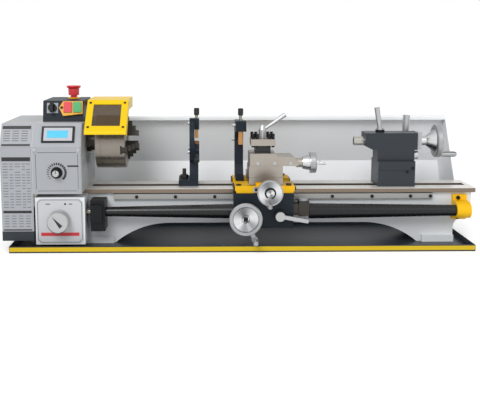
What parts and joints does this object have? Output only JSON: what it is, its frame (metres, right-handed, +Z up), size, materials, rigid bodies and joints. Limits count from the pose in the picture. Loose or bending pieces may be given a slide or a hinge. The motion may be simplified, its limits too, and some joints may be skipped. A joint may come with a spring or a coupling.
{
  "type": "bench lathe",
  "caption": "Manual bench metal lathe with chuck, guard, carriage, compound slide, tool post, steady and follow rests, tailstock, lead screw, splash guard and chip tray.",
  "frame": {"origin": "on the bench, under the spindle axis, at the middle of the chip tray's length", "axes": "+X along the bed to the tailstock, +Y to the back, +Z up"},
  "size_m": [1.099, 0.4146, 0.368],
  "materials": {
    "grey_paint": "light grey hammered paint over iron",
    "charcoal_paint": "satin charcoal paint",
    "tray_paint": "charcoal powder coat",
    "guard_paint": "yellow powder coat",
    "saddle_paint": "amber yellow paint",
    "ground_steel": "ground and scraped",
    "turned_steel": "turned, lightly oiled",
    "dark_steel": "black oxide",
    "cast_aluminium": "turned and polished",
    "panel_plate": "anodised plate",
    "black_plastic": "moulded",
    "amber_plastic": "moulded",
    "red_plastic": "moulded",
    "green_plastic": "moulded",
    "bronze": "sawn bronze",
    "smoked_glass": "smoked polycarbonate",
    "spring_steel": "blued spring strip",
    "belt_rubber": "ribbed belt",
    "black_iron": "black painted bracket"
  },
  "bodies": {
    "base": {"chip_tray": "tray_paint", "bed": "grey_paint", "rack": "turned_steel", "splash_guard": "grey_paint", "headstock": "grey_paint", "spindle_bearings": "turned_steel", "front_panel": "panel_plate", "gearbox": "grey_paint", "end_cover": "charcoal_paint", "control_box": "charcoal_paint", "switch_housing": "amber_plastic", "motor": "dark_steel", "drive_belt": "belt_rubber", "gear_quadrant": "dark_steel", "left_bracket": "black_iron", "right_bracket": "saddle_paint", "spring_cover_left": "spring_steel", "spring_cover_right": "spring_steel"},
    "stop_button": {"stop_button": "red_plastic"},
    "start_button": {"start_button": "green_plastic"},
    "selector_knob": {"selector_knob": "black_plastic"},
    "stop_mushroom": {"stop_mushroom": "red_plastic"},
    "speed_knob": {"speed_knob": "black_plastic"},
    "feed_knob": {"feed_knob": "cast_aluminium"},
    "motor_pulley": {"motor_pulley": "cast_aluminium"},
    "idler_gear": {"idler_gear": "turned_steel"},
    "spindle": {"spindle": "dark_steel", "chuck_plate": "turned_steel", "chuck_body": "turned_steel"},
    "chuck_jaw_1": {"chuck_jaw_1": "dark_steel"},
    "chuck_jaw_2": {"chuck_jaw_2": "dark_steel"},
    "chuck_jaw_3": {"chuck_jaw_3": "dark_steel"},
    "chuck_guard": {"chuck_guard": "guard_paint", "guard_window": "smoked_glass"},
    "lead_screw": {"lead_screw": "turned_steel"},
    "carriage": {"saddle": "saddle_paint", "apron": "charcoal_paint", "dial_block": "dark_steel", "follow_rest": "charcoal_paint"},
    "thread_dial": {"thread_dial": "cast_aluminium"},
    "follow_finger_1": {"follow_finger_1": "bronze"},
    "follow_finger_2": {"follow_finger_2": "bronze"},
    "carriage_wheel": {"carriage_wheel": "cast_aluminium"},
    "half_nut_lever": {"half_nut_lever": "cast_aluminium"},
    "cross_slide": {"cross_slide": "ground_steel"},
    "cross_wheel": {"cross_wheel": "cast_aluminium"},
    "compound_base": {"compound_base": "ground_steel"},
    "top_slide": {"top_slide": "ground_steel"},
    "top_wheel": {"top_wheel": "cast_aluminium"},
    "tool_post": {"tool_post": "ground_steel"},
    "clamp_lever": {"clamp_lever": "cast_aluminium"},
    "steady_rest": {"steady_rest": "charcoal_paint"},
    "steady_finger_1": {"steady_finger_1": "bronze"},
    "steady_finger_2": {"steady_finger_2": "bronze"},
    "steady_finger_3": {"steady_finger_3": "bronze"},
    "tailstock": {"tailstock": "charcoal_paint"},
    "quill": {"quill": "turned_steel"},
    "tail_wheel": {"tail_wheel": "cast_aluminium"},
    "lock_lever": {"lock_lever": "cast_aluminium"},
    "bed_clamp_lever": {"bed_clamp_lever": "cast_aluminium"}
  },
  "joints": [
    {"name": "spindle_turn", "type": "hinge", "parent": "base", "child": "spindle", "pos_m": [-0.35, 0, 0.236], "axis": [1, 0, 0], "continuous": true},
    {"name": "jaw_1_move", "type": "slide", "parent": "spindle", "child": "chuck_jaw_1", "axis": [0, -0.9744, -0.225], "range_m": [-0.008, 0.012]},
    {"name": "jaw_2_move", "type": "slide", "parent": "spindle", "child": "chuck_jaw_2", "axis": [0, 0.682, -0.7314], "range_m": [-0.008, 0.012]},
    {"name": "jaw_3_move", "type": "slide", "parent": "spindle", "child": "chuck_jaw_3", "axis": [0, 0.2924, 0.9563], "range_m": [-0.008, 0.012]},
    {"name": "motor_turn", "type": "hinge", "parent": "base", "child": "motor_pulley", "pos_m": [-0.4, 0.07, 0.185], "axis": [1, 0, 0], "continuous": true},
    {"name": "idler_turn", "type": "hinge", "parent": "base", "child": "idler_gear", "pos_m": [-0.495, -0.01604, 0.14439], "axis": [1, 0, 0], "continuous": true},
    {"name": "lead_screw_turn", "type": "hinge", "parent": "base", "child": "lead_screw", "pos_m": [0, -0.085, 0.082], "axis": [1, 0, 0], "continuous": true},
    {"name": "thread_dial_turn", "type": "hinge", "parent": "carriage", "child": "thread_dial", "pos_m": [0.143, -0.082, 0.11], "axis": [0, 0, 1], "continuous": true},
    {"name": "guard_swing", "type": "hinge", "parent": "base", "child": "chuck_guard", "pos_m": [-0.31, 0.072, 0.324], "axis": [-1, 0, 0], "range_deg": [0, 95]},
    {"name": "carriage_move", "type": "slide", "parent": "base", "child": "carriage", "axis": [1, 0, 0], "range_m": [-0.07, 0.1], "deforming": ["spring_cover_left", "spring_cover_right"]},
    {"name": "carriage_wheel_turn", "type": "hinge", "parent": "carriage", "child": "carriage_wheel", "pos_m": [0.006, -0.12, 0.072], "axis": [0, 1, 0], "range_deg": [-803, 1146.5]},
    {"name": "half_nut_swing", "type": "hinge", "parent": "carriage", "child": "half_nut_lever", "pos_m": [0.086, -0.11, 0.075], "axis": [0, -1, 0], "range_deg": [0, 35]},
    {"name": "follow_finger_1_move", "type": "slide", "parent": "carriage", "child": "follow_finger_1", "axis": [0, 0, -1], "range_m": [-0.0075, 0.01]},
    {"name": "follow_finger_2_move", "type": "slide", "parent": "carriage", "child": "follow_finger_2", "axis": [0, -1, 0], "range_m": [-0.0075, 0.0025]},
    {"name": "cross_slide_move", "type": "slide", "parent": "carriage", "child": "cross_slide", "axis": [0, 1, 0], "range_m": [-0.03, 0.03]},
    {"name": "cross_wheel_turn", "type": "hinge", "parent": "carriage", "child": "cross_wheel", "pos_m": [0.059, -0.121, 0.1365], "axis": [0, 1, 0], "range_deg": [-5401, 5401]},
    {"name": "compound_swivel", "type": "hinge", "parent": "cross_slide", "child": "compound_base", "pos_m": [0.055, -0.045, 0.17], "axis": [0, 0, 1], "range_deg": [-45, 45]},
    {"name": "top_slide_move", "type": "slide", "parent": "compound_base", "child": "top_slide", "axis": [-1, 0, 0], "range_m": [-0.02, 0.02]},
    {"name": "top_wheel_turn", "type": "hinge", "parent": "top_slide", "child": "top_wheel", "pos_m": [0.14, -0.045, 0.19], "axis": [-1, 0, 0], "range_deg": [-3601, 3601]},
    {"name": "tool_post_turn", "type": "hinge", "parent": "top_slide", "child": "tool_post", "pos_m": [0.049, -0.045, 0.23], "axis": [0, 0, 1], "continuous": true},
    {"name": "clamp_lever_swing", "type": "hinge", "parent": "top_slide", "child": "clamp_lever", "pos_m": [0.049, -0.045, 0.26], "axis": [0, 0, 1], "range_deg": [-60, 60]},
    {"name": "steady_rest_move", "type": "slide", "parent": "base", "child": "steady_rest", "axis": [1, 0, 0], "range_m": [-0.08, 0.06]},
    {"name": "steady_finger_1_move", "type": "slide", "parent": "steady_rest", "child": "steady_finger_1", "axis": [0, 0, -1], "range_m": [-0.0065, 0.004]},
    {"name": "steady_finger_2_move", "type": "slide", "parent": "steady_rest", "child": "steady_finger_2", "axis": [0, 0.866, 0.5], "range_m": [-0.0065, 0.004]},
    {"name": "steady_finger_3_move", "type": "slide", "parent": "steady_rest", "child": "steady_finger_3", "axis": [0, -0.866, 0.5], "range_m": [-0.0065, 0.004]},
    {"name": "tailstock_move", "type": "slide", "parent": "base", "child": "tailstock", "axis": [1, 0, 0], "range_m": [-0.09, 0.12]},
    {"name": "quill_move", "type": "slide", "parent": "tailstock", "child": "quill", "axis": [-1, 0, 0], "range_m": [-0.01, 0.05]},
    {"name": "tail_wheel_turn", "type": "hinge", "parent": "tailstock", "child": "tail_wheel", "pos_m": [0.44, 0, 0.236], "axis": [-1, 0, 0], "range_deg": [-1441, 7201]},
    {"name": "lock_lever_swing", "type": "hinge", "parent": "tailstock", "child": "lock_lever", "pos_m": [0.335, 0, 0.26], "axis": [0, 0, 1], "range_deg": [-60, 60]},
    {"name": "bed_clamp_swing", "type": "hinge", "parent": "tailstock", "child": "bed_clamp_lever", "pos_m": [0.407, 0.045, 0.183], "axis": [0, 1, 0], "range_deg": [-60, 15]},
    {"name": "stop_press", "type": "slide", "parent": "base", "child": "stop_button", "axis": [0, 0.9701, -0.2425], "range_m": [0, 0.003], "stiffness_N_per_m": 400},
    {"name": "start_press", "type": "slide", "parent": "base", "child": "start_button", "axis": [0, 0.9701, -0.2425], "range_m": [0, 0.003], "stiffness_N_per_m": 400},
    {"name": "emergency_press", "type": "slide", "parent": "base", "child": "stop_mushroom", "axis": [0, 0, -1], "range_m": [0, 0.005], "stiffness_N_per_m": 1500},
    {"name": "selector_turn", "type": "hinge", "parent": "base", "child": "selector_knob", "pos_m": [-0.439, -0.04524, 0.31905], "axis": [0, -0.9701, 0.2425], "range_deg": [-45, 45]},
    {"name": "speed_turn", "type": "hinge", "parent": "base", "child": "speed_knob", "pos_m": [-0.42, -0.13, 0.18], "axis": [0, 1, 0], "range_deg": [0, 270]},
    {"name": "feed_turn", "type": "hinge", "parent": "base", "child": "feed_knob", "pos_m": [-0.418, -0.13, 0.068], "axis": [0, 1, 0], "range_deg": [-30, 60]}
  ],
  "couplings": [
    {"joint": "jaw_2_move", "follows": "jaw_1_move", "ratio": 1},
    {"joint": "jaw_3_move", "follows": "jaw_1_move", "ratio": 1},
    {"joint": "motor_turn", "follows": "spindle_turn", "ratio": 2.5833},
    {"joint": "idler_turn", "follows": "spindle_turn", "ratio": -0.47619},
    {"joint": "lead_screw_turn", "follows": "spindle_turn", "ratio": 1},
    {"joint": "thread_dial_turn", "follows": "spindle_turn", "ratio": 0.03125},
    {"joint": "carriage_wheel_turn", "follows": "carriage_move", "rad_per_m": 200},
    {"joint": "cross_wheel_turn", "follows": "cross_slide_move", "rad_per_m": 3141.6},
    {"joint": "top_wheel_turn", "follows": "top_slide_move", "rad_per_m": 3141.6},
    {"joint": "tail_wheel_turn", "follows": "quill_move", "rad_per_m": 2513.3}
  ]
}
